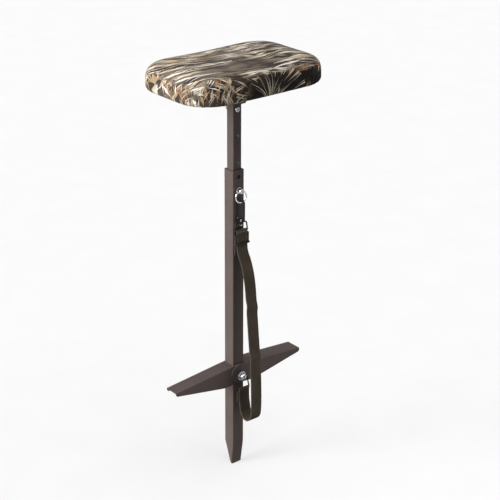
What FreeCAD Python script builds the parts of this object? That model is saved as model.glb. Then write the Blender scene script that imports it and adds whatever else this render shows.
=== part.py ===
import FreeCAD, Part
import math
import os

# Single-leg folding field stool: a spiked square pole, two folding foot arms, a telescoping
# seat post, a padded seat, and a pull pin with a carrying strap.
# Millimetres. +Z up, +X along the right foot arm, -Y is the face with the pull pin.
# The origin is on the pole's axis, level with the spike's bottom end.

V = FreeCAD.Vector

# overall
SEAT_TOP = 810.0
SEAT_LENGTH = 300.0
SEAT_WIDTH = 200.0

# outer tube and spike
POLE_SIDE = 25.4
POLE_WALL = 3.0
POLE_TOP = 607.5
POLE_CORNER = 1.5
SPIKE_TOP = 47.0
SPIKE_EDGE = 6.0
SPIKE_LEAN = -4.2
PIN_Z = 570.0
SPARE_HOLE_Z = 595.0
PIN_HOLE_R = 4.3

# seat post
POST_SIDE = 18.4
POST_CORNER = 1.0
POST_WALL = 2.0
POST_BOTTOM = 425.0
POST_TOP = 762.0
HOLE_PITCH = 50.0
POST_HOLES = 3
SEAT_BOLT_Z = 720.0

# foot arms, in the arm's own frame: x outwards from the hub bolt, z up
HUB_Z = 198.0
ARM_TOP = 21.5
ARM_LOW = -17.5
ARM_SHEET = 2.0
ARM_TIP_DEPTH = 7.0
ARM_TAPER_X = 32.0
ARM_DROOP = 5.0
LEFT_LENGTH = 146.0
LEFT_HALF = 13.0
LEFT_WEB_X = 11.7
RIGHT_LENGTH = 148.0
RIGHT_HALF = 15.3
RIGHT_WEB_X = 11.7

# hub hardware
BOLT_R = 4.0
ARM_BORE_R = 4.05
SPACER_Y = -17.6
SPACER_T = 1.9
LOWER_RIG_Y = -21.1

# seat
SEAT_BOTTOM = 764.0
COVER_T = 1.5
SEAT_CORNER = 60.0
SEAT_CROWN_R = 1500.0
TOP_ROUND = 17.0
BOTTOM_ROUND = 8.0
BOARD_T = 12.0
BOARD_LENGTH = 284.0
BOARD_WIDTH = 184.0
BOARD_CORNER = 52.0
PLATE_T = 3.0
SCREW_X = 55.0
SCREW_Y = 32.0

# pull pin, ring, snap hook and strap
RIG_Y = -20.0
PIN_R = 4.0
PIN_FRONT = -24.0
RING_R = 10.8
RING_WIRE = 1.25
RING_TURN = 12.0
HOOK_TURN = 50.0
HOOK_BASE = 513.5
HOOK_ARC_Z = 546.8
HOOK_OUT = 7.3
HOOK_IN = 4.3
HOOK_T = 2.6
GATE_PIVOT_X = -5.85
GATE_PIVOT_Z = 519.5
GATE_TOP = 546.5
LOOP_WIRE = 1.3
UPPER_BAR_Z = 492.0
LOWER_BAR_Y = -27.0
LOWER_BAR_Z = 170.5
WEB_W = 25.0
WEB_T = 2.2
FOLD_R = 2.85
STRAP_TOP = 466.5
STRAP_END = 160.0


def box(x0, x1, y0, y1, z0, z1):
    return Part.makeBox(x1 - x0, y1 - y0, z1 - z0, V(x0, y0, z0))


def rod_y(r, y0, y1, x, z):
    """Cylinder along Y between two faces."""
    return Part.makeCylinder(r, y1 - y0, V(x, y0, z), V(0, 1, 0))


def rod_z(r, z0, z1, x, y):
    """Cylinder along Z between two heights."""
    return Part.makeCylinder(r, z1 - z0, V(x, y, z0), V(0, 0, 1))


def fuse(shapes):
    return shapes[0].multiFuse(shapes[1:]).removeSplitter()


def corner_arc(a, b, c, r):
    """Start, middle and end of the arc of radius r that rounds corner b."""
    u = (a - b).normalize()
    w = (c - b).normalize()
    half = u.getAngle(w) / 2
    reach = r / math.tan(half)
    bisector = (u + w).normalize()
    middle = b + bisector * (r / math.sin(half) - r)
    return b + u * reach, middle, b + w * reach


def rounded_path(points, radii, closed):
    """Straight runs joined by tangent arcs. An open path keeps its first and last points."""
    n = len(points)
    corners = range(n) if closed else range(1, n - 1)
    arcs = [corner_arc(points[i - 1], points[i], points[(i + 1) % n], radii[i]) for i in corners]
    edges = []
    last = arcs[-1][2] if closed else points[0]
    for start, middle, end in arcs:
        edges.append(Part.LineSegment(last, start).toShape())
        edges.append(Part.Arc(start, middle, end).toShape())
        last = end
    if not closed:
        edges.append(Part.LineSegment(last, points[-1]).toShape())
    return Part.Wire(edges)


def rounded_rect(wx, wy, r, z):
    """Closed rounded rectangle centred on the Z axis."""
    hx = wx / 2
    hy = wy / 2
    pts = [V(-hx, -hy, z), V(hx, -hy, z), V(hx, hy, z), V(-hx, hy, z)]
    return rounded_path(pts, [r] * 4, True)


def prism(wx, wy, r, z0, z1):
    return Part.Face(rounded_rect(wx, wy, r, z0)).extrude(V(0, 0, z1 - z0))


def plate_xz(points, y0, y1):
    """Flat plate from an outline of (x, z) points, between two Y faces."""
    outline = [V(x, y0, z) for x, z in points]
    wire = Part.makePolygon(outline + [outline[0]])
    return Part.Face(wire).extrude(V(0, y1 - y0, 0))


def hex_y(flats, y0, y1, z):
    """Hexagonal prism along Y."""
    r = flats / math.sqrt(3)
    corners = [(r * math.cos(math.radians(60 * i)), z + r * math.sin(math.radians(60 * i))) for i in range(6)]
    return plate_xz(corners, y0, y1)


def wire_loop(points, radii, wire_r):
    """Closed loop of round wire, starting at the middle of the path's first straight run."""
    path = rounded_path(points, radii, True)
    first = path.Edges[0]
    start = first.valueAt(first.FirstParameter)
    direction = first.tangentAt(first.FirstParameter)
    section = Part.Wire(Part.makeCircle(wire_r, start, direction))
    return path.makePipeShell([section], True, False)


def outer_tube():
    solid = prism(POLE_SIDE, POLE_SIDE, POLE_CORNER, SPIKE_TOP, POLE_TOP)
    shoulder = rounded_rect(POLE_SIDE, POLE_SIDE, POLE_CORNER, SPIKE_TOP)
    edge = rounded_rect(24.0, 7.0, 2.2, SPIKE_EDGE)
    edge.translate(V(0, SPIKE_LEAN, 0))
    end = rounded_rect(22.0, 4.6, 1.6, 0.0)
    end.translate(V(0, SPIKE_LEAN - 1.2, 0))
    taper = Part.makeLoft([shoulder, edge], True, True)
    nose = Part.makeLoft([edge, end], True, True)
    bore = POLE_SIDE - 2 * POLE_WALL
    hollow = prism(bore, bore, 0.8, SPIKE_TOP, POLE_TOP)
    wide = rounded_rect(bore, bore, 0.8, SPIKE_TOP)
    shut = rounded_rect(bore, 1.8, 0.6, 14.0)
    shut.translate(V(0, SPIKE_LEAN + 0.8, 0))
    pinch = Part.makeLoft([wide, shut], True, True)
    tube = fuse([solid, taper, nose]).cut(fuse([hollow, pinch]))
    for z in (PIN_Z, SPARE_HOLE_Z):
        tube = tube.cut(rod_y(PIN_HOLE_R, -20, 20, 0, z))
    return tube.cut(rod_y(ARM_BORE_R, -20, 20, 0, HUB_Z))


def inner_tube():
    bore = POST_SIDE - 2 * POST_WALL
    tube = prism(POST_SIDE, POST_SIDE, POST_CORNER, POST_BOTTOM, POST_TOP)
    tube = tube.cut(prism(bore, bore, 0.6, POST_BOTTOM, POST_TOP))
    for i in range(POST_HOLES):
        tube = tube.cut(rod_y(PIN_HOLE_R, -20, 20, 0, PIN_Z + i * HOLE_PITCH))
    return tube.cut(rod_y(4.25, -20, 20, 0, SEAT_BOLT_Z))


def inner_tube_plug():
    cap = prism(POST_SIDE, POST_SIDE, POST_CORNER, POST_BOTTOM - 3.0, POST_BOTTOM)
    shank = prism(13.8, 13.8, 0.8, POST_BOTTOM, POST_BOTTOM + 15.0)
    return fuse([cap, shank])


def seat_screw_spots():
    return [(sx * SCREW_X, sy * SCREW_Y) for sx in (-1, 1) for sy in (-1, 1)]


def seat_bracket():
    top = SEAT_BOTTOM + COVER_T
    low = top - PLATE_T
    plate = prism(140.0, 90.0, 10.0, low, top)
    for x, y in seat_screw_spots():
        plate = plate.cut(rod_z(3.2, low - 1, top + 1, x, y))
    stub = prism(14.0, 14.0, 1.0, SEAT_BOLT_Z - 25.0, low)
    stub = stub.cut(rod_y(4.25, -20, 20, 0, SEAT_BOLT_Z))
    rib = plate_xz([(9.5, low), (9.5, 725.0), (24.0, 725.0), (30.0, 732.0), (30.0, low)], -2.0, 2.0)
    return fuse([plate, stub, rib])


def seat_board():
    low = SEAT_BOTTOM + COVER_T
    high = low + BOARD_T
    board = prism(BOARD_LENGTH, BOARD_WIDTH, BOARD_CORNER, low, high)
    for x, y in seat_screw_spots():
        board = board.cut(rod_z(4.1, low - 1, high + 1, x, y))
        board = board.cut(rod_z(9.1, high - 1.3, high + 1, x, y))
    return board


def bracket_screws():
    low = SEAT_BOTTOM + COVER_T - PLATE_T
    screws = []
    for x, y in seat_screw_spots():
        head = rod_z(5.5, low - 3.0, low, x, y)
        head = head.makeFillet(1.4, [head.Edges[2]])
        head = head.cut(rod_z(1.8, low - 3.0, low - 1.2, x, y))
        screws.append(fuse([head, rod_z(2.9, low, low + 13.0, x, y)]))
    return Part.makeCompound(screws)


def tee_nuts():
    high = SEAT_BOTTOM + COVER_T + BOARD_T
    nuts = []
    for x, y in seat_screw_spots():
        nut = fuse([rod_z(4.0, high - 10.0, high - 1.2, x, y), rod_z(9.0, high - 1.2, high, x, y)])
        nuts.append(nut.cut(rod_z(3.0, high - 11.0, high + 1.0, x, y)))
    return Part.makeCompound(nuts)


def cushion_block(inset, low):
    """Crowned block with rounded edges: the cushion's outside, or the space inside its cover."""
    block = prism(SEAT_LENGTH - 2 * inset, SEAT_WIDTH - 2 * inset, SEAT_CORNER - inset, low, SEAT_TOP + 5.0)
    crown = Part.makeSphere(SEAT_CROWN_R - inset, V(0, 0, SEAT_TOP - SEAT_CROWN_R))
    block = block.common(crown)
    upper = [e for e in block.Edges if e.BoundBox.ZMin > SEAT_TOP - 15.0]
    block = block.makeFillet(TOP_ROUND - inset, upper)
    lower = [e for e in block.Edges if e.BoundBox.ZMax < low + 0.1]
    return block.makeFillet(BOTTOM_ROUND - inset, lower)


def seat_cover():
    outside = cushion_block(0.0, SEAT_BOTTOM)
    inside = cushion_block(COVER_T, SEAT_BOTTOM + COVER_T)
    opening = prism(232.0, 132.0, 40.0, SEAT_BOTTOM - 1.0, SEAT_BOTTOM + COVER_T + 0.5)
    return outside.cut(inside).cut(opening)


def seat_foam():
    low = SEAT_BOTTOM + COVER_T
    inside = cushion_block(COVER_T, low)
    return inside.cut(prism(BOARD_LENGTH, BOARD_WIDTH, BOARD_CORNER, low, low + BOARD_T))


def seat_bolt():
    """Low button head with a socket, its shank through the post and the bracket's stub."""
    face = -POST_SIDE / 2
    head = rod_y(5.2, face - 2.4, face, 0, SEAT_BOLT_Z)
    head = head.makeFillet(1.9, [e for e in head.Edges if e.BoundBox.YMax < face - 2.3])
    head = head.cut(hex_y(3.0, face - 3.0, face - 1.0, SEAT_BOLT_Z))
    return fuse([head, rod_y(BOLT_R, face, 16.0, 0, SEAT_BOLT_Z)])


def seat_bolt_nut():
    face = POST_SIDE / 2
    nut = hex_y(13.0, face, face + 6.5, SEAT_BOLT_Z)
    return nut.cut(rod_y(BOLT_R + 0.03, face - 1, face + 8, 0, SEAT_BOLT_Z))


def flange(sign, length, y0, y1):
    """One side plate of a foot arm: a round lug on the hub bolt, tapering to the tip."""
    lug_r = (ARM_TOP - ARM_LOW) / 2
    tip = length * sign
    outline = [V(0, y0, ARM_TOP), V(tip, y0, ARM_TOP), V(tip, y0, ARM_TOP - ARM_TIP_DEPTH)]
    outline += [V(sign * ARM_TAPER_X, y0, ARM_LOW), V(0, y0, ARM_LOW)]
    edges = [Part.LineSegment(a, b).toShape() for a, b in zip(outline, outline[1:])]
    edges.append(Part.Arc(outline[-1], V(-sign * lug_r, y0, ARM_TOP - lug_r), outline[0]).toShape())
    return Part.Face(Part.Wire(edges)).extrude(V(0, y1 - y0, 0))


def foot_arm(sign, length, half, web_x):
    """Inverted channel on the hub bolt, turned down by the droop angle."""
    wide = half + ARM_SHEET
    near = flange(sign, length, -wide, -half)
    far = flange(sign, length, half, wide)
    ends = sorted((sign * web_x, sign * length))
    web = box(ends[0], ends[1], -wide, wide, ARM_TOP - ARM_SHEET, ARM_TOP)
    arm = fuse([near, far, web])
    bends = [e for e in arm.Edges if is_bend(e, wide, web_x)]
    arm = arm.makeFillet(1.6, bends)
    corners = [e for e in arm.Edges if is_tip_corner(e, length)]
    arm = arm.makeFillet(4.0, corners)
    arm = arm.cut(rod_y(ARM_BORE_R, -30, 30, 0, 0))
    arm.rotate(V(0, 0, 0), V(0, 1, 0), sign * ARM_DROOP)
    arm.translate(V(0, 0, HUB_Z))
    return arm


def is_bend(edge, wide, web_x):
    """True for the two long outer edges where the web turns into the side plates."""
    b = edge.BoundBox
    on_side = abs(abs(b.YMin) - wide) < 0.01 and b.YLength < 0.01
    on_top = abs(b.ZMin - ARM_TOP) < 0.01 and b.ZLength < 0.01
    return on_side and on_top and b.XLength > web_x


def is_tip_corner(edge, length):
    """True for the short cross edges at the lower corner of each side plate's tip."""
    b = edge.BoundBox
    at_tip = abs(max(abs(b.XMin), abs(b.XMax)) - length) < 0.01 and b.XLength < 0.01
    at_corner = abs(b.ZMin - (ARM_TOP - ARM_TIP_DEPTH)) < 0.01 and b.ZLength < 0.01
    return at_tip and at_corner and b.YLength < ARM_SHEET + 0.01


def left_arm():
    return foot_arm(-1, LEFT_LENGTH, LEFT_HALF, LEFT_WEB_X)


def right_arm():
    return foot_arm(1, RIGHT_LENGTH, RIGHT_HALF, RIGHT_WEB_X)


def washer(r, y0, y1):
    return rod_y(r, y0, y1, 0, HUB_Z).cut(rod_y(BOLT_R + 0.1, y0 - 1, y1 + 1, 0, HUB_Z))


def hub_washers():
    rear = washer(9.0, -SPACER_Y, -SPACER_Y + 1.5)
    spacer = washer(8.0, SPACER_Y - SPACER_T, SPACER_Y)
    cover = washer(9.0, LOWER_RIG_Y - 2.6, LOWER_RIG_Y - 1.6)
    return Part.makeCompound([rear, spacer, cover])


def hub_bolt():
    start = -SPACER_Y + 1.5
    head = hex_y(13.0, start, start + 5.3, HUB_Z)
    head = head.common(Part.makeSphere(9.0, V(0, start - 2.0, HUB_Z)))
    return fuse([head, rod_y(BOLT_R, LOWER_RIG_Y - 7.4, start, 0, HUB_Z)])


def hub_nut():
    seat = LOWER_RIG_Y - 2.6
    body = hex_y(13.0, seat - 5.0, seat, HUB_Z)
    dome = Part.makeSphere(6.0, V(0, seat - 4.0, HUB_Z)).common(rod_y(6.0, seat - 12.0, seat - 4.0, 0, HUB_Z))
    return fuse([body, dome]).cut(rod_y(BOLT_R + 0.03, LOWER_RIG_Y - 7.8, seat + 1, 0, HUB_Z))


def lock_pin():
    shank = rod_y(PIN_R, -15.5, -9.6, 0, PIN_Z)
    collar = rod_y(6.0, -14.7, -13.0, 0, PIN_Z)
    head = rod_y(5.0, PIN_FRONT, -15.0, 0, PIN_Z)
    front = [e for e in head.Edges if e.BoundBox.YMax < PIN_FRONT + 0.1]
    head = head.makeFillet(2.2, front)
    return fuse([shank, collar, head]).cut(ring_at(RING_WIRE + 0.3))


def ring_at(wire_r):
    turn = math.radians(RING_TURN)
    return Part.makeTorus(RING_R, wire_r, V(0, RIG_Y, PIN_Z - RING_R), V(math.sin(turn), math.cos(turn), 0))


def pin_ring():
    return ring_at(RING_WIRE)


def turned(shape):
    """Turn a hook part, drawn in the XZ plane, about its own upright axis."""
    shape.rotate(V(0, 0, 0), V(0, 0, 1), -HOOK_TURN)
    shape.translate(V(0, RIG_Y, 0))
    return shape


def hook_body():
    half = HOOK_T / 2
    arc = rod_y(HOOK_OUT, -half, half, 0, HOOK_ARC_Z)
    frame = fuse([arc, box(-HOOK_OUT, HOOK_OUT, -half, half, HOOK_BASE, HOOK_ARC_Z)])
    window = fuse([rod_y(HOOK_IN, -9, 9, 0, HOOK_ARC_Z), box(-HOOK_IN, HOOK_IN, -9, 9, HOOK_BASE + 4.5, HOOK_ARC_Z)])
    frame = frame.cut(window)
    frame = frame.cut(box(-12, -HOOK_IN, -9, 9, HOOK_BASE + 3.5, GATE_TOP + 0.4))
    uprights = [e for e in frame.Edges if e.BoundBox.ZLength > 12.0]
    frame = frame.makeFillet(0.8, uprights)
    ears = [gate_ear(half), gate_ear(-half - 0.7)]
    body = fuse([frame] + ears)
    body = body.cut(rod_y(0.83, -9, 9, GATE_PIVOT_X, GATE_PIVOT_Z))
    return turned(body.cut(rod_z(1.95, HOOK_BASE - 1, HOOK_BASE + 3.0, 0, 0)))


def gate_ear(y0):
    """Thin ear beside the gate, holding the end of its hinge pin."""
    round_end = rod_y(1.9, y0, y0 + 0.7, GATE_PIVOT_X, GATE_PIVOT_Z)
    foot = box(GATE_PIVOT_X - 1.9, GATE_PIVOT_X + 1.9, y0, y0 + 0.7, HOOK_BASE + 0.5, GATE_PIVOT_Z)
    return fuse([round_end, foot])


def hook_gate():
    half = HOOK_T / 2 - 0.3
    bar = box(GATE_PIVOT_X - 1.45, GATE_PIVOT_X + 1.45, -half, half, GATE_PIVOT_Z, GATE_TOP)
    thumb = box(GATE_PIVOT_X - 2.2, GATE_PIVOT_X - 1.45, -half, half, 533.0, 538.0)
    gate = fuse([bar, thumb, rod_y(1.45, -half, half, GATE_PIVOT_X, GATE_PIVOT_Z)])
    return turned(gate.cut(rod_y(0.86, -9, 9, GATE_PIVOT_X, GATE_PIVOT_Z)))


def gate_pin():
    return turned(rod_y(0.8, -2.0, 2.0, GATE_PIVOT_X, GATE_PIVOT_Z))


def hook_swivel():
    head = rod_z(3.2, HOOK_BASE - 8.6, HOOK_BASE - 6.9, 0, RIG_Y)
    return fuse([head, rod_z(1.9, HOOK_BASE - 6.9, HOOK_BASE + 2.8, 0, RIG_Y)])


def upper_loop():
    top = HOOK_BASE - 3.5
    pts = [V(-15, RIG_Y, UPPER_BAR_Z), V(15, RIG_Y, UPPER_BAR_Z), V(12.5, RIG_Y, top), V(-12.5, RIG_Y, top)]
    loop = wire_loop(pts, [2.0, 2.0, 5.0, 5.0], LOOP_WIRE)
    boss = rod_z(4.0, HOOK_BASE - 6.7, HOOK_BASE - 0.3, 0, RIG_Y)
    return fuse([loop, boss]).cut(rod_z(2.0, HOOK_BASE - 10, HOOK_BASE + 1, 0, RIG_Y))


def lower_loop():
    y = LOWER_RIG_Y
    top = HUB_Z + BOLT_R + 0.4 + LOOP_WIRE
    knee = HUB_Z - 8.0
    right = [V(15, LOWER_BAR_Y, LOWER_BAR_Z), V(15, y, knee), V(6.6, y, top)]
    left = [V(-p.x, p.y, p.z) for p in reversed(right)]
    return wire_loop(left[-1:] + right + left[:-1], [2.2, 2.2, 5.0, 3.5, 3.5, 5.0], LOOP_WIRE)


def strap_route():
    """Points (y, z) that the strap hangs along, from the slider down to the lower loop's fold."""
    upper = fold_front(RIG_Y)
    lower = fold_front(LOWER_BAR_Y)
    return [
        (upper, STRAP_TOP), (upper, 454.5), (-35.5, 435.0), (-45.5, 401.0), (-50.5, 350.0), (-57.5, 292.0),
        (-65.5, 235.0), (-68.3, 183.0), (-67.8, 145.0), (-64.5, 126.5), (-54.0, 116.5), (-42.5, 117.0),
        (-34.0, 127.5), (-32.5, 140.0), (lower, 150.5), (lower, STRAP_END),
    ]


def fold_front(bar_y):
    return bar_y - FOLD_R - 0.05


def natural_radii(points):
    """The bend radius at each corner: as large as its two runs allow."""
    radii = [0.0]
    for a, b, c in zip(points, points[1:], points[2:]):
        turn = (b - a).getAngle(c - b)
        shorter = min((b - a).Length, (c - b).Length)
        radii.append(0.45 * shorter / math.tan(turn / 2))
    return radii


def ribbon(points, radii):
    """Flat webbing swept along a path in the YZ plane; returns the solid and its length."""
    path = rounded_path(points, radii, False)
    start = points[0]
    side = V(0, points[1].z - start.z, start.y - points[1].y).normalize() * (WEB_T / 2)
    across = V(WEB_W / 2, 0, 0)
    outline = [start - across - side, start + across - side, start + across + side, start - across + side]
    section = Part.makePolygon(outline + [outline[0]])
    return path.makePipeShell([section], True, False), path.Length


def strap_webbing():
    points = [V(0, y, z) for y, z in strap_route()]
    radii = natural_radii(points)
    strap, length = ribbon(points, radii)
    print("strap length", round(length, 1), "mm, bend radii", [round(r, 1) for r in radii[1:]])
    print("strap volume over section times length", round(strap.Volume / (WEB_W * WEB_T * length), 4))
    return strap


def webbing_fold(bar_y, bar_z, front_end, back_end):
    """Webbing folded over a loop's bar, with its front layer and its stitched tail behind."""
    front = fold_front(bar_y)
    back = 2 * bar_y - front
    top = bar_z + FOLD_R + 0.05
    points = [V(0, front, front_end), V(0, front, top), V(0, back, top), V(0, back, back_end)]
    return ribbon(points, [0.0, FOLD_R, FOLD_R])[0]


def strap_upper_fold():
    return webbing_fold(RIG_Y, UPPER_BAR_Z, STRAP_TOP, 447.0)


def strap_lower_fold():
    return webbing_fold(LOWER_BAR_Y, LOWER_BAR_Z, STRAP_END, 144.0)


def strap_slider():
    """Three-bar slider: two rails, two bars behind the front layer and one bar across its front."""
    face = RIG_Y - FOLD_R - WEB_T / 2 - 0.4
    low = 469.0
    top = 489.5
    rails = [box(s * 14.2 - 1.3, s * 14.2 + 1.3, face, RIG_Y + 1.4, low, top) for s in (-1, 1)]
    inner = [box(-14.2, 14.2, RIG_Y - 1.4, RIG_Y + 1.4, z, z + 3.4) for z in (483.5, top - 3.4)]
    front = box(-15.5, 15.5, face - 2.0, face, low, low + 3.2)
    slider = fuse(rails + inner + [front])
    uprights = [e for e in slider.Edges if e.BoundBox.ZLength > 16.0 and abs(e.BoundBox.YMin - face) < 0.01]
    return slider.makeFillet(0.7, uprights)


BUILDERS = [
    outer_tube, inner_tube, inner_tube_plug, seat_bracket, seat_board, bracket_screws, tee_nuts,
    seat_cover, seat_foam, seat_bolt, seat_bolt_nut, left_arm, right_arm, hub_washers, hub_bolt,
    hub_nut, lock_pin, pin_ring, hook_body, hook_gate, gate_pin, hook_swivel, upper_loop,
    lower_loop, strap_upper_fold, strap_webbing, strap_lower_fold, strap_slider,
]


def main():
    os.makedirs("parts", exist_ok=True)
    for build in BUILDERS:
        shape = build()
        name = build.__name__
        shape.exportStep(os.path.join("parts", name + ".step"))
        b = shape.BoundBox
        size = [round(v, 1) for v in (b.XMin, b.XMax, b.YMin, b.YMax, b.ZMin, b.ZMax)]
        print(name, size, "solids", len(shape.Solids), "volume", round(shape.Volume / 1000, 2), shape.isValid())


main()
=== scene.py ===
import math

import bmesh
import bpy
import numpy as np
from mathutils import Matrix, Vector


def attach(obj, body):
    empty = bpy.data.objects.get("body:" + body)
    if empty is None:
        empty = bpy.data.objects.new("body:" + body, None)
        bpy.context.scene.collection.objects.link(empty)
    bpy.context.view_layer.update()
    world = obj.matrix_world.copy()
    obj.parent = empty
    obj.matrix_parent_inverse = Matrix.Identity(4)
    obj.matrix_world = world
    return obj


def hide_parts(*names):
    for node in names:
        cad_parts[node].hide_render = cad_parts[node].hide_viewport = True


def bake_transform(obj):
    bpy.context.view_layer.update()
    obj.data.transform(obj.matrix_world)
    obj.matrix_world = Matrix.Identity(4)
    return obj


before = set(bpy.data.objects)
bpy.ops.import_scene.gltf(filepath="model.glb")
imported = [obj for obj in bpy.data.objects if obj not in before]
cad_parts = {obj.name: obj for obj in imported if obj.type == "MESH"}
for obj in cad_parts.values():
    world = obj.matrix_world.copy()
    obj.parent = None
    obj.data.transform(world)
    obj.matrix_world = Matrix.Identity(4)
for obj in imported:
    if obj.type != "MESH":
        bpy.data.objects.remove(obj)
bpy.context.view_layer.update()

MM = 0.001

# ------------------------------------------------------------------ sizes shared with the CAD, mm
SEAT_X, SEAT_Y = 150.0, 100.0
SEAT_LOW, SEAT_TOP = 764.0, 810.0
CORNER = 60.0
HEM_X, HEM_Y, HEM_CORNER = 116.0, 66.0, 40.0
WEB_W, WEB_T = 25.0, 2.2
RIG_Y, LOWER_Y, FOLD = -20.0, -27.0, 2.9

# the strap's free run, (y, z) from the slider to the lower loop
ROUTE = [
    (-22.9, 466.5), (-22.9, 454.5), (-35.5, 435.0), (-45.5, 401.0), (-50.5, 350.0), (-57.5, 292.0),
    (-65.5, 235.0), (-68.3, 183.0), (-67.8, 145.0), (-64.5, 126.5), (-54.0, 116.5), (-42.5, 117.0),
    (-34.0, 127.5), (-32.5, 140.0), (-29.9, 150.5), (-29.9, 160.0),
]
UPPER_FOLD = [
    (-22.9, 466.5), (-22.9, 480.0), (-22.9, 495.6), (-17.1, 495.6), (-17.1, 480.0), (-17.1, 447.0),
]
LOWER_FOLD = [
    (-29.9, 160.0), (-29.9, 166.0), (-29.9, 174.1), (-24.1, 174.1), (-24.1, 163.0), (-24.1, 144.0),
]

# ------------------------------------------------------------------ sizes of the visual model only, mm
POST_BARE_WITHIN = 8.9      # the post's bore and holes, nearer its axis than this, are bare metal
START_GAP = 1.2             # how far the cushion starts inside the CAD pad's sides
VOXEL = 4.5
SWELL_LIMIT = 3.0           # the furthest that the simulation may move the fabric
HELD_HEIGHT = 4.5           # the simulation holds the cushion below this height
HEM_DEPTH = 1.9
PRINT_ROUND = 17.0          # the top's print starts down the sides this far inside the edge
STAPLE_INSET, STAPLE_PITCH, STAPLE_HALF, STAPLE_RADIUS = 24.0, 26.0, 4.5, 0.45
THREAD_RADIUS, THREAD_GAP = 0.32, 0.1
STITCH_PITCH, STITCH_LENGTH = 3.2, 2.3
ROD_SIDES = 6

CLOTH_FRAMES = 20
SPREAD_ROUNDS = 120
CURVE_STEPS = 10

# how much the free run wanders sideways, and its two creases: (distance along, height, half width), m
STRAP_SWAY = 0.35
CREASES = [(0.118, 0.0024, 0.007), (0.218, 0.0018, 0.007)]


# ------------------------------------------------------------------ objects
def add_object(name, data):
    obj = bpy.data.objects.new(name, data)
    bpy.context.scene.collection.objects.link(obj)
    return obj


def mesh_object(name, bm):
    """Makes an object from a bmesh, and frees it."""
    mesh = bpy.data.meshes.new(name)
    bm.to_mesh(mesh)
    bm.free()
    return add_object(name, mesh)


# ------------------------------------------------------------------ camera, floor and light
def camera():
    data = bpy.data.cameras.new("camera")
    data.lens = 98.6
    data.sensor_width = 36.0
    data.shift_x = 0.0318
    data.clip_end = 100.0
    obj = add_object("camera", data)
    obj.location = (-1.4358, -1.7986, 1.4449)
    obj.rotation_euler = (math.radians(66.6), 0.0, math.radians(-38.6))
    bpy.context.scene.camera = obj


def sun(name, source, angle, strength):
    """A sun that shines from the source point towards the origin."""
    data = bpy.data.lights.new(name, "SUN")
    data.angle = math.radians(angle)
    data.energy = strength
    obj = add_object(name, data)
    obj.location = source
    obj.rotation_euler = Vector(source).to_track_quat("Z", "Y").to_euler()


def low_fill(source, target, size, power):
    """Soft light bounced from low in front, which the camera doesn't see."""
    data = bpy.data.lights.new("low_fill", "AREA")
    data.shape = "DISK"
    data.size = size
    data.energy = power
    obj = add_object("low_fill", data)
    obj.location = source
    obj.rotation_euler = (Vector(target) - Vector(source)).to_track_quat("-Z", "Y").to_euler()
    obj.visible_camera = False


def stage_piece(name, corners, faces):
    """A part of the studio that the camera sees, and that throws no light back on the object."""
    mesh = bpy.data.meshes.new(name)
    mesh.from_pydata(corners, [], faces)
    obj = add_object(name, mesh)
    obj.visible_diffuse = False
    obj.visible_glossy = False
    return obj


def room():
    """A round floor with a wall round it."""
    n, radius, height = 64, 30.0, 40.0
    angles = [2 * math.pi * i / n for i in range(n)]
    low, high = ([(radius * math.cos(a), radius * math.sin(a), z) for a in angles] for z in (0.0, height))
    panels = [(i, (i + 1) % n, (i + 1) % n + n, i + n) for i in range(n)]
    floor = stage_piece("floor", low, [tuple(range(n))])
    wall = stage_piece("wall", low + high, panels)
    wall.visible_shadow = False
    return floor, wall


def paper(name, scale, detail, dark, light, roughness, specular, glow):
    """Pale studio paper with a faint mottle, which gives off a little light."""
    tree, bsdf = material(name)
    mottle = noise(tree, coords(tree, "Object"), scale, detail=detail)
    link(tree, ramp(tree, mottle, [(0.0, (dark,) * 3), (1.0, (light,) * 3)]), bsdf.inputs["Base Color"])
    bsdf.inputs["Roughness"].default_value = roughness
    bsdf.inputs["Specular IOR Level"].default_value = specular
    bsdf.inputs["Emission Color"].default_value = (1.0, 1.0, 1.0, 1.0)
    bsdf.inputs["Emission Strength"].default_value = glow
    return tree


def studio():
    floor, wall = room()
    paint(wall, paper("wall_paper", 0.3, 3.0, 0.02, 0.03, 0.5, 0.0, 0.94))
    paint(floor, paper("floor_paper", 9.0, 6.0, 0.22, 0.26, 0.9, 0.1, 0.60))
    world = bpy.data.worlds.new("world")
    bpy.context.scene.world = world
    bpy.context.scene.view_settings.view_transform = "Standard"
    world.use_nodes = True
    world.node_tree.nodes["Background"].inputs[0].default_value = (1.0, 1.0, 1.0, 1.0)
    world.node_tree.nodes["Background"].inputs[1].default_value = 0.38
    sun("key", (-0.94, 0.22, 0.27), 35.0, 6.3)
    sun("top", (0.05, -0.25, 0.97), 50.0, 1.95)
    low_fill((0.1, -0.75, 0.05), (0, 0, 0.2), 0.5, 1.2)


# ------------------------------------------------------------------ node helpers
def material(name):
    mat = bpy.data.materials.new(name)
    mat.use_nodes = True
    tree = mat.node_tree
    tree["owner"] = name
    bsdf = tree.nodes["Principled BSDF"]
    return tree, bsdf


def paint(obj, tree):
    mat = bpy.data.materials[tree["owner"]]
    obj.data.materials.clear()
    obj.data.materials.append(mat)


def link(tree, value, socket):
    """Connects a socket, or sets a constant."""
    if isinstance(value, bpy.types.NodeSocket):
        tree.links.new(value, socket)
    elif isinstance(value, tuple) and len(value) == 3 and socket.type == "RGBA":
        socket.default_value = (*value, 1.0)
    else:
        socket.default_value = value


def add(tree, kind, inputs, **settings):
    node = tree.nodes.new(kind)
    for key, value in settings.items():
        setattr(node, key, value)
    for key, value in inputs.items():
        link(tree, value, node.inputs[key])
    return node


def coords(tree, which):
    return add(tree, "ShaderNodeTexCoord", {}).outputs[which]


def calc(tree, operation, a, b=0.0):
    return add(tree, "ShaderNodeMath", {0: a, 1: b}, operation=operation).outputs[0]


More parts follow.
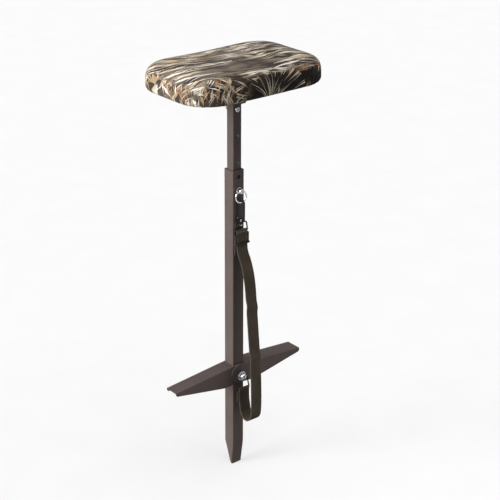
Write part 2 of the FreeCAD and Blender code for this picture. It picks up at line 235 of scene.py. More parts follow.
def distance(tree, a, b):
    """Length of the hypotenuse over two sides."""
    squares = calc(tree, "ADD", calc(tree, "MULTIPLY", a, a), calc(tree, "MULTIPLY", b, b))
    return calc(tree, "SQRT", squares)


def noise(tree, vector, scale, detail=3.0, rough=0.5, out="Fac"):
    inputs = {"Vector": vector, "Scale": scale, "Detail": detail, "Roughness": rough}
    return add(tree, "ShaderNodeTexNoise", inputs).outputs[out]


def place(tree, vector, scale=(1, 1, 1), turn=0.0, shift=(0, 0, 0)):
    inputs = {"Vector": vector, "Scale": scale, "Rotation": (0, 0, turn), "Location": shift}
    return add(tree, "ShaderNodeMapping", inputs).outputs[0]


def blend_colours(tree, factor, a, b):
    node = add(tree, "ShaderNodeMix", {0: factor}, data_type="RGBA")
    link(tree, a, node.inputs[6])
    link(tree, b, node.inputs[7])
    return node.outputs[2]


def ramp(tree, factor, stops, hard=False):
    node = add(tree, "ShaderNodeValToRGB", {0: factor})
    band = node.color_ramp
    band.interpolation = "CONSTANT" if hard else "LINEAR"
    while len(band.elements) < len(stops):
        band.elements.new(0.5)
    for element, (at, colour) in zip(band.elements, stops):
        element.position = at
        element.color = (*colour, 1.0)
    return node.outputs[0]


def span(tree, value, low, high, out_low=0.0, out_high=1.0):
    """Smooth step from out_low to out_high as value goes from low to high."""
    inputs = {0: value, 1: low, 2: high, 3: out_low, 4: out_high}
    return add(tree, "ShaderNodeMapRange", inputs, interpolation_type="SMOOTHSTEP").outputs[0]


def bump(tree, bsdf, height, strength, distance):
    node = add(tree, "ShaderNodeBump", {"Height": height, "Strength": strength, "Distance": distance})
    link(tree, node.outputs[0], bsdf.inputs["Normal"])


# ------------------------------------------------------------------ hard materials
def powder_coat(name, inner_half=None):
    tree, bsdf = material(name)
    co = coords(tree, "Object")
    broad = noise(tree, co, 14.0, detail=4.0)
    tone = ramp(tree, broad, [(0.3, (0.062, 0.046, 0.041)), (0.7, (0.077, 0.058, 0.052))])
    fine = noise(tree, co, 900.0, detail=2.0)
    speck = span(tree, noise(tree, co, 420.0, detail=1.0), 0.66, 0.72)
    tone = blend_colours(tree, calc(tree, "MULTIPLY", speck, 0.35), tone, (0.13, 0.105, 0.095))
    if inner_half:
        tone = bare_inside(tree, tone, inner_half)
    link(tree, tone, bsdf.inputs["Base Color"])
    link(tree, span(tree, broad, 0.2, 0.8, 0.42, 0.52), bsdf.inputs["Roughness"])
    bsdf.inputs["Specular IOR Level"].default_value = 0.25
    bump(tree, bsdf, fine, 0.25, 0.0003)
    return tree


def bare_inside(tree, coat, half):
    """Pale zinc on the faces nearer the tube's axis than half (mm), powder coat outside."""
    parts = add(tree, "ShaderNodeSeparateXYZ", {0: coords(tree, "Object")})
    x, y = (calc(tree, "ABSOLUTE", parts.outputs[i]) for i in (0, 1))
    across = calc(tree, "MAXIMUM", x, y)
    inside = calc(tree, "LESS_THAN", across, half * MM)
    return blend_colours(tree, inside, coat, (0.62, 0.61, 0.60))


def black_paint(name, colour, rough, grain):
    tree, bsdf = material(name)
    co = coords(tree, "Object")
    cloud = noise(tree, co, 60.0, detail=4.0)
    light = tuple(c * 2.2 for c in colour)
    link(tree, ramp(tree, cloud, [(0.3, colour), (0.75, light)]), bsdf.inputs["Base Color"])
    link(tree, span(tree, cloud, 0.2, 0.8, rough - 0.06, rough + 0.08), bsdf.inputs["Roughness"])
    bsdf.inputs["Specular IOR Level"].default_value = 0.3
    bump(tree, bsdf, noise(tree, co, grain, detail=2.0), 0.3, 0.0002)
    return tree


def bright_metal(name, low, high, rough, scratch):
    tree, bsdf = material(name)
    co = coords(tree, "Object")
    bsdf.inputs["Metallic"].default_value = 1.0
    lines = noise(tree, place(tree, co, scale=(1.0, 12.0, 1.0)), scratch, detail=4.0)
    link(tree, ramp(tree, lines, [(0.3, low), (0.7, high)]), bsdf.inputs["Base Color"])
    link(tree, span(tree, lines, 0.25, 0.75, rough, rough + 0.14), bsdf.inputs["Roughness"])
    bump(tree, bsdf, lines, 0.12, 0.0001)
    return tree


def plywood():
    tree, bsdf = material("birch_ply")
    co = coords(tree, "Object")
    warp = noise(tree, co, 6.0, detail=3.0)
    grain = noise(tree, place(tree, co, scale=(3.0, 55.0, 55.0)), 7.0, detail=6.0, rough=0.6)
    mixed = calc(tree, "ADD", calc(tree, "MULTIPLY", grain, 0.8), calc(tree, "MULTIPLY", warp, 0.2))
    stops = [(0.3, (0.12, 0.07, 0.032)), (0.5, (0.22, 0.145, 0.075)), (0.7, (0.30, 0.21, 0.115))]
    link(tree, ramp(tree, mixed, stops), bsdf.inputs["Base Color"])
    bsdf.inputs["Roughness"].default_value = 0.7
    bump(tree, bsdf, grain, 0.3, 0.0004)
    return tree


# ------------------------------------------------------------------ soft materials
def webbing_material():
    """Dark olive webbing: lengthwise ribs, a fine diagonal weave and a paler line near each edge, which is
    a painted highlight.
    """
    tree, bsdf = material("olive_webbing")
    uv = add(tree, "ShaderNodeUVMap", {}, uv_map="flat").outputs[0]
    parts = add(tree, "ShaderNodeSeparateXYZ", {0: uv})
    across, along = parts.outputs[0], parts.outputs[1]
    rib_pitch, pick_pitch = 0.0031, 0.0016
    slant = calc(tree, "ADD", along, across)
    rib = calc(tree, "SINE", calc(tree, "MULTIPLY", across, 2 * math.pi / rib_pitch))
    pick = calc(tree, "SINE", calc(tree, "MULTIPLY", slant, 2 * math.pi / pick_pitch))
    weave = calc(tree, "ADD", calc(tree, "MULTIPLY", rib, 0.6), calc(tree, "MULTIPLY", pick, 0.4))
    cloud = noise(tree, coords(tree, "Object"), 30.0, detail=5.0)
    tone = ramp(tree, cloud, [(0.3, (0.036, 0.027, 0.019)), (0.7, (0.058, 0.044, 0.032))])
    # painted highlight: a paler line near each edge of the webbing, where its rounded edge catches the
    # light
    off_centre = calc(tree, "ABSOLUTE", across)
    edge = span(tree, off_centre, 0.0100, 0.0108)
    edge = calc(tree, "MULTIPLY", edge, span(tree, off_centre, 0.0116, 0.0124, 1.0, 0.2))
    tone = blend_colours(tree, calc(tree, "MULTIPLY", edge, 0.4), tone, (0.10, 0.074, 0.050))
    high = span(tree, weave, 0.2, 1.0)
    tone = blend_colours(tree, calc(tree, "MULTIPLY", high, 0.35), tone, (0.085, 0.066, 0.048))
    link(tree, tone, bsdf.inputs["Base Color"])
    bsdf.inputs["Roughness"].default_value = 0.8
    bsdf.inputs["Specular IOR Level"].default_value = 0.2
    bump(tree, bsdf, weave, 0.5, 0.0003)
    return tree


def thread_material(name, low, high):
    tree, bsdf = material(name)
    twist = noise(tree, coords(tree, "Object"), 1500.0, detail=2.0)
    link(tree, ramp(tree, twist, [(0.3, low), (0.7, high)]), bsdf.inputs["Base Color"])
    bsdf.inputs["Roughness"].default_value = 0.8
    return tree


DARK = (0.009, 0.007, 0.005)
MARSH = (0.025, 0.022, 0.016)
UMBER = (0.044, 0.031, 0.024)
SLATE = (0.038, 0.030, 0.029)
TAUPE = (0.128, 0.102, 0.085)
STONE = (0.230, 0.191, 0.149)
TAN = (0.306, 0.212, 0.123)
STRAW = (0.442, 0.357, 0.246)
PALE = (0.680, 0.629, 0.535)
RUST = (0.289, 0.145, 0.072)


def vector_calc(tree, operation, inputs):
    return add(tree, "ShaderNodeVectorMath", inputs, operation=operation).outputs[0]


def wavering(tree, uv, bend, seed):
    """The print coordinates pushed about by up to roughly the bend, m."""
    wobble = noise(tree, place(tree, uv, shift=(seed, 0, 0)), 9.0, detail=1.0, out="Color")
    centred = vector_calc(tree, "SUBTRACT", {0: wobble, 1: (0.5, 0.5, 0.5)})
    push = vector_calc(tree, "SCALE", {0: centred, "Scale": bend * 2})
    return vector_calc(tree, "ADD", {0: uv, 1: push})


def leaves(tree, under, uv, angle, size, share, colours, seed, bend, region, shade, vein=0.35):
    """Lays one layer of pointed blades over the colours under it.

    The share is how many cells hold a blade, the shade how dark the shadow round each one is."""
    bent = wavering(tree, uv, bend, seed)
    turned = place(tree, bent, turn=math.radians(angle), shift=(seed * 0.37, seed * 0.61, 0))
    cells = place(tree, turned, scale=(1 / size[0], 1 / size[1], 1))
    blade = add(
        tree, "ShaderNodeTexVoronoi", {"Vector": cells, "Scale": 1.0, "Exponent": 0.85, "Randomness": 1.0},
        voronoi_dimensions="2D", distance="MINKOWSKI",
    )
    pick = add(tree, "ShaderNodeSeparateColor", {0: blade.outputs["Color"]})
    shape = span(tree, blade.outputs["Distance"], 0.52, 0.56, 1.0, 0.0)
    halo = span(tree, blade.outputs["Distance"], 0.54, 0.74, 1.0, 0.0)
    chosen = calc(tree, "MULTIPLY", calc(tree, "LESS_THAN", pick.outputs[0], share), region)
    stops = [(i / len(colours), c) for i, c in enumerate(colours)]
    tone = ramp(tree, pick.outputs[1], stops, hard=True)
    streaks = noise(tree, place(tree, turned, scale=(30.0, 420.0, 1.0)), 1.0, detail=3.0)
    tone = blend_colours(tree, span(tree, streaks, 0.45, 0.75, 0.0, vein), tone, UMBER)
    tone = blend_colours(tree, span(tree, blade.outputs["Distance"], 0.2, 0.55, 0.0, 0.3), tone, UMBER)
    shadow = calc(tree, "MULTIPLY", calc(tree, "MULTIPLY", halo, chosen), shade)
    under = blend_colours(tree, shadow, under, DARK)
    return blend_colours(tree, calc(tree, "MULTIPLY", shape, chosen), under, tone)


def swept(tree, x, y, turn_x, far_y, reach):
    """Print coordinates that run along the seat, then curl round its left end in arcs."""
    back = calc(tree, "MINIMUM", calc(tree, "SUBTRACT", x, turn_x), 0.0)
    down = calc(tree, "SUBTRACT", far_y, y)
    radius = distance(tree, back, down)
    angle = calc(tree, "ARCTAN2", calc(tree, "MULTIPLY", back, -1.0), down)
    along = calc(tree, "SUBTRACT", calc(tree, "MAXIMUM", x, turn_x), calc(tree, "MULTIPLY", angle, reach))
    return add(tree, "ShaderNodeCombineXYZ", {0: along, 1: radius}).outputs[0]


def radiating(tree, x, y, root_x, root_y, width):
    """Print coordinates that spread from a root, and how near the root they are, for a clump of reeds."""
    dx = calc(tree, "SUBTRACT", x, root_x)
    dy = calc(tree, "SUBTRACT", y, root_y)
    radius = distance(tree, dx, dy)
    turned = calc(tree, "MULTIPLY", calc(tree, "ARCTAN2", dx, dy), width)
    near = span(tree, radius, 0.0, 0.085, 1.0, 0.0)
    return add(tree, "ShaderNodeCombineXYZ", {0: radius, 1: turned}).outputs[0], near


def oval(tree, x, y, centre, half, inside=1.0, outside=0.0):
    """A soft-edged ellipse on the print: one value inside it and another outside."""
    dx = calc(tree, "DIVIDE", calc(tree, "SUBTRACT", x, centre[0]), half[0])
    dy = calc(tree, "DIVIDE", calc(tree, "SUBTRACT", y, centre[1]), half[1])
    squared = calc(tree, "ADD", calc(tree, "MULTIPLY", dx, dx), calc(tree, "MULTIPLY", dy, dy))
    return span(tree, squared, 0.5, 1.3, inside, outside)


def minus(tree, a, b):
    return calc(tree, "SUBTRACT", a, b)


def times(tree, a, b):
    return calc(tree, "MULTIPLY", a, b)


def print_regions(tree, uv, x, y):
    """Masks over the print, each 0 to 1: the top, its calm and pale parts, the sides, corners and rim."""
    ragged = times(tree, minus(tree, noise(tree, uv, 45.0, detail=3.0), 0.5), 0.04)
    edge_y = calc(tree, "ADD", calc(tree, "ABSOLUTE", y), ragged)
    edge_x = calc(tree, "ADD", calc(tree, "ABSOLUTE", x), ragged)
    long_side = span(tree, edge_y, 0.090, 0.096)
    end_side = span(tree, edge_x, 0.143, 0.155)
    corner = times(tree, span(tree, x, -0.035, -0.075, 0.0, 1.0), span(tree, edge_y, 0.074, 0.084))
    leafy = calc(tree, "MAXIMUM", corner, end_side)
    top = minus(tree, 1.0, calc(tree, "MAXIMUM", long_side, leafy))
    rim = times(tree, span(tree, edge_y, 0.086, 0.092), span(tree, edge_y, 0.100, 0.106, 1.0, 0.0))
    return {
        "long_side": long_side,
        "dark_side": times(tree, long_side, minus(tree, 1.0, times(tree, corner, 0.4))),
        "leafy": leafy,
        "top": top,
        "pale_end": times(tree, top, span(tree, x, -0.10, 0.0, 1.0, 0.0)),
        "calm": times(tree, top, oval(tree, x, y, (-0.035, -0.052), (0.085, 0.026), 0.15, 1.0)),
        "low_reeds": times(tree, long_side, span(tree, noise(tree, uv, 14.0, detail=1.0), 0.50, 0.56)),
        "rim": times(tree, rim, span(tree, x, 0.05, 0.09)),
    }


def print_ground(tree, uv, x, y, flow, regions):
    """The print's colours under the leaves: brown patches on top, near black down the long sides."""
    patches = noise(tree, place(tree, flow, scale=(9.0, 26.0, 1.0)), 1.0, detail=4.0, rough=0.6)
    stops = [(0.34, SLATE), (0.43, UMBER), (0.49, TAUPE), (0.60, TAUPE), (0.74, STONE)]
    base = ramp(tree, patches, stops)
    mud = noise(tree, place(tree, uv, scale=(60.0, 60.0, 1.0)), 1.0, detail=5.0)
    murk = ramp(tree, mud, [(0.4, DARK), (0.7, MARSH)])
    middle = oval(tree, x, y, (0.03, 0.025), (0.110, 0.060))
    cloud = noise(tree, place(tree, flow, scale=(8.0, 17.0, 1.0), shift=(3.7, 1.9, 0)), 1.0, detail=3.0)
    dusk = span(tree, calc(tree, "ADD", times(tree, middle, 0.10), cloud), 0.50, 0.54)
    base = blend_colours(tree, times(tree, dusk, 0.8), base, SLATE)
    return blend_colours(tree, regions["dark_side"], base, murk)


def print_colour(tree, uv, x, y):
    """The whole print: its ground, then layers of blades from the broadest to the finest."""
    flow = swept(tree, x, y, -0.02, 0.13, 0.13)
    regions = print_regions(tree, uv, x, y)
    out = print_ground(tree, uv, x, y, flow, regions)
    top, calm, pale_end = regions["top"], regions["calm"], regions["pale_end"]
    leafy, low_reeds, rim = regions["leafy"], regions["low_reeds"], regions["rim"]
    spread, near = radiating(tree, x, y, 0.002, -0.146, 0.05)
    clump = calc(tree, "GREATER_THAN", times(tree, near, regions["long_side"]), 0.02)
    clump = times(tree, clump, calc(tree, "LESS_THAN", y, 0.0))
    thin = [PALE, STRAW, STRAW, UMBER]
    layers = [
        # where, angle, blade size, share, colours, seed, bend, region, shade, vein
        (flow, 3, (0.150, 0.038), 0.50, [TAUPE, SLATE, TAUPE, UMBER], 1.3, 0.02, top, 0.4, 0.5),
        (flow, -4, (0.095, 0.013), 0.45, [STONE, STRAW, TAUPE, SLATE], 4.1, 0.02, calm, 0.6),
        (flow, 2, (0.090, 0.0065), 0.30, [STRAW, PALE, STONE, DARK], 7.9, 0.02, calm, 0.6, 0.2),
        (flow, -3, (0.060, 0.0028), 0.38, [PALE, PALE, STRAW, UMBER], 5.6, 0.03, calm, 0.7, 0.1),
        (flow, 1, (0.085, 0.0060), 0.55, [PALE, STRAW, PALE, TAN], 6.6, 0.02, pale_end, 0.7, 0.2),
        (uv, 18, (0.032, 0.0022), 0.35, thin, 2.2, 0.03, calm, 0.6, 0.1),
        (uv, 70, (0.050, 0.021), 0.65, [TAN, STRAW, UMBER, DARK], 7.7, 0.02, leafy, 1.0),
        (uv, 30, (0.042, 0.014), 0.45, [STRAW, TAN, PALE, UMBER], 2.9, 0.015, leafy, 1.0),
        (uv, 118, (0.032, 0.008), 0.45, [STRAW, TAN, RUST, PALE], 9.2, 0.015, leafy, 1.0),
        (uv, 48, (0.036, 0.0026), 0.30, thin, 3.9, 0.02, leafy, 1.0, 0.1),
        (uv, -20, (0.030, 0.0024), 0.25, thin, 1.9, 0.02, leafy, 1.0, 0.1),
        (uv, 55, (0.050, 0.0040), 0.40, [STRAW, TAN, UMBER, STONE], 6.4, 0.02, low_reeds, 0.9),
        (uv, 100, (0.045, 0.0034), 0.40, [STRAW, TAN, PALE, UMBER], 8.1, 0.02, low_reeds, 0.9),
        (spread, 0, (0.100, 0.0042), 0.26, [STRAW, PALE, TAN, STRAW], 3.3, 0.012, clump, 0.9, 0.15),
        (spread, 3, (0.070, 0.0026), 0.26, [PALE, PALE, STRAW, PALE], 5.1, 0.018, clump, 0.9, 0.1),
        (uv, 4, (0.070, 0.008), 0.75, [RUST, TAN, RUST, RUST], 4.4, 0.01, rim, 0.8),
    ]
    for layer in layers:
        out = leaves(tree, out, *layer)
    return out


def camo_fabric():
    """Printed reed-marsh fabric: strokes on top that curl round the left end, leaves on the sides."""
    tree, bsdf = material("reed_print_fabric")
    uv = add(tree, "ShaderNodeUVMap", {}, uv_map="drape").outputs[0]
    parts = add(tree, "ShaderNodeSeparateXYZ", {0: uv})
    x, y = parts.outputs[0], parts.outputs[1]
    link(tree, print_colour(tree, uv, x, y), bsdf.inputs["Base Color"])
    bsdf.inputs["Roughness"].default_value = 0.82
    bsdf.inputs["Specular IOR Level"].default_value = 0.15
    thread_pitch = 0.0009
    warp, weft = (calc(tree, "SINE", times(tree, v, 2 * math.pi / thread_pitch)) for v in (x, y))
    crease = noise(tree, coords(tree, "Object"), 45.0, detail=4.0)
    height = calc(tree, "ADD", times(tree, times(tree, warp, weft), 0.25), crease)
    bump(tree, bsdf, height, 0.35, 0.0006)
    return tree


# ------------------------------------------------------------------ seat cushion
def outline(hx, hy, r, n=16):
    """Points round a rounded rectangle, mm."""
    pts = []
    x, y = hx - r, hy - r
    for cx, cy, start in ((x, y, 0), (-x, y, 90), (-x, -y, 180), (x, -y, 270)):
        for i in range(n + 1):
            a = math.radians(start + 90 * i / n)
            pts.append((cx + r * math.cos(a), cy + r * math.sin(a)))
    return pts


def loft(name, rings):
    """Closed mesh through rings of equal length, capped at both ends."""
    bm = bmesh.new()
    loops = [[bm.verts.new(p) for p in ring] for ring in rings]
    n = len(loops[0])
    for a, b in zip(loops, loops[1:]):
        for i in range(n):
            bm.faces.new((a[i], a[(i + 1) % n], b[(i + 1) % n], b[i]))
    bm.faces.new(reversed(loops[0]))
    bm.faces.new(loops[-1])
    return mesh_object(name, bm)


def cushion_start():
    """The cushion before it is inflated: a crowned pad, as (inset, height) steps up its side."""
    rings = []
    steps = [(7.0, 0.0), (3.2, 0.8), (1.0, 3.0), (0.1, 7.0), (0.0, 14.0), (0.0, 21.0)]
    steps += [(0.8, 28.0), (3.0, 34.0), (7.5, 38.6), (14.0, 41.8), (24.0, 44.3)]
    steps += [(40.0, 46.1), (60.0, 47.2), (80.0, 47.7), (94.0, 47.9)]
    for inset, up in steps:
        hx, hy = SEAT_X - START_GAP - inset, SEAT_Y - START_GAP - inset
        r = max(2.0, min(CORNER - inset, hy - 0.5))
        rings.append([(px * MM, py * MM, (SEAT_LOW + up) * MM) for px, py in outline(hx, hy, r)])
    return loft("seat_cushion", rings)


def apply_modifiers(obj):
    graph = bpy.context.evaluated_depsgraph_get()
    mesh = bpy.data.meshes.new_from_object(obj.evaluated_get(graph))
    obj.modifiers.clear()
    obj.data = mesh


def positions(mesh):
    co = np.empty(len(mesh.vertices) * 3)
    mesh.vertices.foreach_get("co", co)
    return co.reshape(-1, 3)


def set_positions(mesh, co):
    mesh.vertices.foreach_set("co", co.ravel())
    mesh.update()


def inflate(obj):
    """Swells the fabric by cloth simulation with its underside held, then limits and evens the swelling."""
    start = positions(obj.data)
    held = obj.vertex_groups.new(name="held")
    low = [int(i) for i in np.flatnonzero(start[:, 2] < (SEAT_LOW + HELD_HEIGHT) * MM)]
    held.add(low, 1.0, "REPLACE")
    cloth = obj.modifiers.new("cloth", "CLOTH")
    cloth.settings.quality = 6
    cloth.settings.mass = 0.3
    cloth.settings.tension_stiffness = 25
    cloth.settings.compression_stiffness = 25
    cloth.settings.bending_stiffness = 2.0
    cloth.settings.use_pressure = True
    cloth.settings.uniform_pressure_force = 4.0
    cloth.settings.vertex_group_mass = "held"
    cloth.settings.effector_weights.gravity = 0.0
    cloth.collision_settings.use_collision = False
    scene = bpy.context.scene
    for f in range(1, CLOTH_FRAMES + 1):
        scene.frame_set(f)
    apply_modifiers(obj)
    scene.frame_set(1)
    moved = positions(obj.data) - start
    far = np.linalg.norm(moved, axis=1, keepdims=True)
    moved *= np.minimum(1.0, SWELL_LIMIT * MM / np.maximum(far, 1e-9))
    set_positions(obj.data, start + spread_out(obj.data, moved, SPREAD_ROUNDS))


def spread_out(mesh, values, rounds):
    """Averages per-vertex vectors with their neighbours, to leave only broad swelling."""
    ends = np.empty(len(mesh.edges) * 2, dtype=np.int64)
    mesh.edges.foreach_get("vertices", ends)
    a, b = ends[0::2], ends[1::2]
    count = np.bincount(ends, minlength=len(values))[:, None]
    for _ in range(rounds):
        total = np.zeros_like(values)
        np.add.at(total, a, values[b])
        np.add.at(total, b, values[a])
        values = 0.5 * values + 0.5 * total / count
    return values


def smooth(obj, rounds, factor):
    mod = obj.modifiers.new("smooth", "SMOOTH")
    mod.iterations = rounds
    mod.factor = factor
    apply_modifiers(obj)


def pucker(obj):
    """Shallow tucks where the fabric is pulled under at the corners."""
    co = positions(obj.data)
    x, y, z = co[:, 0] / MM, co[:, 1] / MM, co[:, 2] / MM - SEAT_LOW
    cx = np.clip(np.abs(x) - (SEAT_X - CORNER), 0, None)
    cy = np.clip(np.abs(y) - (SEAT_Y - CORNER), 0, None)
    angle = np.arctan2(cy, cx)
    at_corner = np.clip(np.sin(2 * angle), 0, 1)
    fade = np.exp(-((z - 1.0) / 9.0) ** 2)
    reach = np.hypot(cx, cy)
    outer = np.clip((reach - 40) / 12, 0, 1)
    depth = 0.9 * np.sin(angle * 26.0) * at_corner * fade * outer
    away = np.stack([np.sign(x) * np.cos(angle), np.sign(y) * np.sin(angle), np.zeros_like(x)], axis=1)
    co += away * (depth * MM)[:, None]
    set_positions(obj.data, co)


def cut_hem(obj):
    """Recess under the seat, inside the turned-in hem, where the board shows."""
    edge = outline(HEM_X, HEM_Y, HEM_CORNER)
    rings = [[(px * MM, py * MM, z * MM) for px, py in edge] for z in (SEAT_LOW - 6, SEAT_LOW + HEM_DEPTH)]
    tool = loft("hem_tool", rings)
    mod = obj.modifiers.new("hem", "BOOLEAN")
    mod.object = tool
    mod.operation = "DIFFERENCE"
    mod.solver = "EXACT"
    apply_modifiers(obj)
    bpy.data.objects.remove(tool)


def drape_uv(obj):
    """Flat print coordinates, metres: the top seen from above, carried on down the sides."""
    co = positions(obj.data) / MM
    hx, hy, r = SEAT_X - PRINT_ROUND, SEAT_Y - PRINT_ROUND, CORNER - PRINT_ROUND
    x, y = co[:, 0], co[:, 1]
    ax = np.clip(x, r - hx, hx - r)
    ay = np.clip(y, r - hy, hy - r)
    dx, dy = x - ax, y - ay
    d = np.hypot(dx, dy)
    over = np.clip(d - r, 0, None)
    down = np.clip(SEAT_TOP - 6.0 - co[:, 2], 0, None) * np.clip(over / 6.0, 0, 1)
    under = co[:, 2] < SEAT_LOW + 2.0
    down = np.where(under, down + PRINT_ROUND - over, down)
    nx, ny = dx / np.maximum(d, 1e-6), dy / np.maximum(d, 1e-6)
    flat = np.stack([(x + nx * down) * MM, (y + ny * down) * MM], axis=1)
    layer = obj.data.uv_layers.new(name="drape")
    loops = np.empty(len(obj.data.loops), dtype=np.int64)
    obj.data.loops.foreach_get("vertex_index", loops)
    layer.data.foreach_set("uv", flat[loops].ravel())


def seat_cushion(fabric):
    obj = cushion_start()
    mod = obj.modifiers.new("remesh", "REMESH")
    mod.mode = "VOXEL"
    mod.voxel_size = VOXEL * MM
    apply_modifiers(obj)
    inflate(obj)
    smooth(obj, rounds=3, factor=0.5)
    sub = obj.modifiers.new("subdivide", "SUBSURF")
    sub.levels = sub.render_levels = 1
    apply_modifiers(obj)
    pucker(obj)
    cut_hem(obj)
    drape_uv(obj)
    obj.data.shade_smooth()
    paint(obj, fabric)
    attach(obj, "seat_post")
    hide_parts("seat_cover", "seat_foam")


# ------------------------------------------------------------------ strap
def route_line(name, pts):
    """Points along the smooth curve whose control points are the route, in metres."""
    curve = bpy.data.curves.new(name, "CURVE")
    curve.dimensions = "3D"
    curve.resolution_u = CURVE_STEPS
    spline = curve.splines.new("NURBS")
    spline.points.add(len(pts) - 1)
    for point, (y, z) in zip(spline.points, pts):
        point.co = (0.0, y * MM, z * MM, 1.0)
    spline.order_u = 3
    spline.use_endpoint_u = True
    obj = bpy.data.objects.new(name, curve)
    mesh = bpy.data.meshes.new_from_object(obj)
    line = [v.co.copy() for v in mesh.vertices]
    bpy.data.objects.remove(obj)
    bpy.data.curves.remove(curve)
    bpy.data.meshes.remove(mesh)
    return line


def section():
    """The webbing's section with half-round edges: points (across, up) in mm."""
    hw, ht = WEB_W / 2, WEB_T / 2
    upper = [(-hw + ht - ht * math.cos(a), ht * math.sin(a)) for a in (0.0, 0.7, 1.2)]
    upper += [(x, ht) for x in (-10.0, -6.0, -2.0, 2.0, 6.0, 10.0)]
    upper += [(hw - ht + ht * math.cos(a), ht * math.sin(a)) for a in (1.2, 0.7, 0.0)]
    lower = [(x, -z) for x, z in reversed(upper[1:-1])]
    return upper + lower


def ribbon(name, line, sway=0.0, creases=()):
    """Webbing swept along a line in the YZ plane, with flat coordinates in metres.

    A crease is a slanted ridge across the webbing, on the side away from the pole."""
    waves, drift_share, slant = 17.0, 0.004, 60.0
    shape = section()
    n = len(shape)
    bm = bmesh.new()
    layer = bm.loops.layers.uv.new("flat")
    rings = []
    along = []
    run = 0.0
    for i, p in enumerate(line):
        if i:
            run += (p - line[i - 1]).length
        ahead = line[min(i + 1, len(line) - 1)] - line[max(i - 1, 0)]
        ahead.normalize()
        up = Vector((0, ahead.z, -ahead.y))
        drift = sway * math.sin(run * waves) * math.sin(math.pi * i / (len(line) - 1))
        ridge = sum(height * math.exp(-(((run - at) / half) ** 2)) for at, height, half in creases)
        side = Vector((1, 0, 0)) + ahead * (drift + ridge * slant)
        shift = Vector((drift * drift_share, 0, 0)) + up * ridge
        rings.append([bm.verts.new(p + shift + side * (a * MM) + up * (b * MM)) for a, b in shape])
        along.append(run)
    for i in range(len(rings) - 1):
        for j in range(n):
            k = (j + 1) % n
            face = bm.faces.new((rings[i][j], rings[i][k], rings[i + 1][k], rings[i + 1][j]))
            face.smooth = True
            spots = ((i, j), (i, k), (i + 1, k), (i + 1, j))
            for loop, (ri, sj) in zip(face.loops, spots):
                loop[layer].uv = (shape[sj][0] * MM, along[ri])
    bm.faces.new(reversed(rings[0]))
    bm.faces.new(rings[-1])
    bmesh.ops.recalc_face_normals(bm, faces=bm.faces)
    return mesh_object(name, bm)


def rods(name, segments, radius):
    """Short round-ended rods between pairs of points, mm: thread or wire."""
    bm = bmesh.new()
    for a, b in segments:
        a, b = Vector(a) * MM, Vector(b) * MM
        d = (b - a).normalized()
        u = d.orthogonal().normalized()
        v = d.cross(u)
        rings = []
        turns = [2 * math.pi * i / ROD_SIDES for i in range(ROD_SIDES)]
        spokes = [u * math.cos(w) + v * math.sin(w) for w in turns]
        for t, r in ((0.0, 0.55), (0.14, 1.0), (0.86, 1.0), (1.0, 0.55)):
            c = a.lerp(b, t)
            rings.append([bm.verts.new(c + spoke * radius * r * MM) for spoke in spokes])
        for p, q in zip(rings, rings[1:]):
            for i in range(ROD_SIDES):
                k = (i + 1) % ROD_SIDES
                bm.faces.new((p[i], p[k], q[k], q[i])).smooth = True
        bm.faces.new(reversed(rings[0]))
        bm.faces.new(rings[-1])
    return mesh_object(name, bm)


def stitch_run(a, b):
    """Dashes of thread from a to b, mm."""
    a, b = Vector(a), Vector(b)
    n = max(1, round((b - a).length / STITCH_PITCH))
    d = (b - a) / n
    cut = STITCH_LENGTH / d.length
    return [(a + d * (i + 0.5 - cut / 2), a + d * (i + 0.5 + cut / 2)) for i in range(n)]


def stitch_box(y, z0, z1):
    """A sewn box with a cross in it."""
    x = 9.8
    corners = [(-x, y, z0), (x, y, z0), (x, y, z1), (-x, y, z1)]
    runs = list(zip(corners, corners[1:] + corners[:1]))
    runs += [(corners[0], corners[2]), (corners[1], corners[3])]
    return [s for a, b in runs for s in stitch_run(a, b)]


def stitches():
    """Thread on the strap's two folds: a row and two sides above, a sewn box below whose thread is darkened
    as painted shade.
    """
    off = FOLD + WEB_T / 2 + THREAD_GAP
    front, low = RIG_Y - off, LOWER_Y - off
    sewn = stitch_run((-10.5, front, 493.2), (10.5, front, 493.2))
    for x in (-10.8, 10.8):
        sewn += stitch_run((x, front, 474.5), (x, front, 484.5))
    top = rods("strap_top_stitches", sewn, THREAD_RADIUS)
    bottom = rods("strap_end_stitches", stitch_box(low, 161.5, 171.0), THREAD_RADIUS)
    tan = thread_material("tan_thread", (0.20, 0.13, 0.07), (0.36, 0.25, 0.14))
    # the darker thread for the sewn box below is painted shade: the same tan thread, darkened where the
    # lower fold lies in shadow
    shaded_thread = thread_material("thread_in_painted_shade", (0.020, 0.014, 0.009), (0.045, 0.031, 0.019))
    for obj, body, thread in ((top, "pull_pin", tan), (bottom, "pole", shaded_thread)):
        paint(obj, thread)
        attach(obj, body)


def strap(webbing):
    line = route_line("route", ROUTE)
    free = ribbon("strap_free_run", line, sway=STRAP_SWAY, creases=CREASES)
    paint(free, webbing)
    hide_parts("strap_webbing")
    upper = ribbon("strap_slider_fold", route_line("upper", UPPER_FOLD))
    lower = ribbon("strap_loop_fold", route_line("lower", LOWER_FOLD))
    for obj, body, node in ((upper, "pull_pin", "strap_upper_fold"), (lower, "pole", "strap_lower_fold")):
        paint(obj, webbing)
        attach(obj, body)
        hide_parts(node)
    stitches()
    total = sum((b - a).length for a, b in zip(line, line[1:]))
    print("strap free run", round(total, 4))
    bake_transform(free)


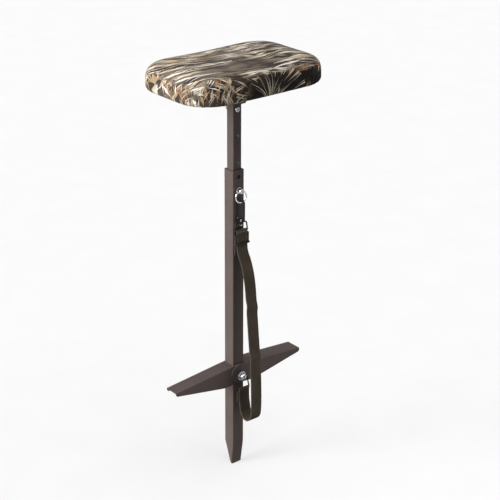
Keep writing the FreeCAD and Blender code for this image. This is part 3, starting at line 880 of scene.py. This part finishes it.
def staples(metal):
    """Wire staples round the turned-in hem under the seat."""
    pts = outline(SEAT_X - STAPLE_INSET, SEAT_Y - STAPLE_INSET, CORNER - 20.0, n=3)
    z = SEAT_LOW - 0.25
    segments = []
    for (x0, y0), (x1, y1) in zip(pts, pts[1:] + pts[:1]):
        gap = math.hypot(x1 - x0, y1 - y0)
        n = max(1, round(gap / STAPLE_PITCH))
        for i in range(n):
            t = (i + 0.5) / n
            x, y = x0 + (x1 - x0) * t, y0 + (y1 - y0) * t
            ux, uy = (x1 - x0) / gap * STAPLE_HALF, (y1 - y0) / gap * STAPLE_HALF
            segments.append(((x - ux, y - uy, z), (x + ux, y + uy, z)))
    obj = rods("seat_staples", segments, STAPLE_RADIUS)
    paint(obj, metal)
    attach(obj, "seat_post")


# ------------------------------------------------------------------ everything
def dress_frame():
    """Gives every carried-over CAD node its material, and returns the zinc for the staples."""
    coat = powder_coat("taupe_powder_coat")
    post_coat = powder_coat("taupe_coat_bare_inside", POST_BARE_WITHIN)
    black = black_paint("black_bracket_paint", (0.006, 0.006, 0.006), 0.38, 700.0)
    hook = black_paint("black_hook_plate", (0.004, 0.004, 0.004), 0.36, 500.0)
    plastic = black_paint("moulded_black_plastic", (0.006, 0.006, 0.006), 0.45, 1500.0)
    zinc = bright_metal("bright_zinc", (0.50, 0.50, 0.52), (0.74, 0.74, 0.75), 0.22, 300.0)
    chrome = bright_metal("polished_chrome", (0.74, 0.74, 0.76), (0.88, 0.88, 0.89), 0.08, 200.0)
    looks = [
        (coat, ["outer_tube", "left_arm", "right_arm"]),
        (post_coat, ["inner_tube"]),
        (black, ["seat_bracket"]),
        (hook, ["hook_body", "hook_gate", "upper_loop", "lower_loop"]),
        (plastic, ["inner_tube_plug", "strap_slider"]),
        (zinc, ["bracket_screws", "tee_nuts", "seat_bolt", "seat_bolt_nut"]),
        (zinc, ["hub_bolt", "gate_pin", "hook_swivel"]),
        (chrome, ["hub_washers", "hub_nut", "lock_pin", "pin_ring"]),
        (plywood(), ["seat_board"]),
    ]
    for tree, names in looks:
        for name in names:
            paint(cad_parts[name], tree)
    return zinc


camera()
studio()
strap(webbing_material())
seat_cushion(camo_fabric())
staples(dress_frame())
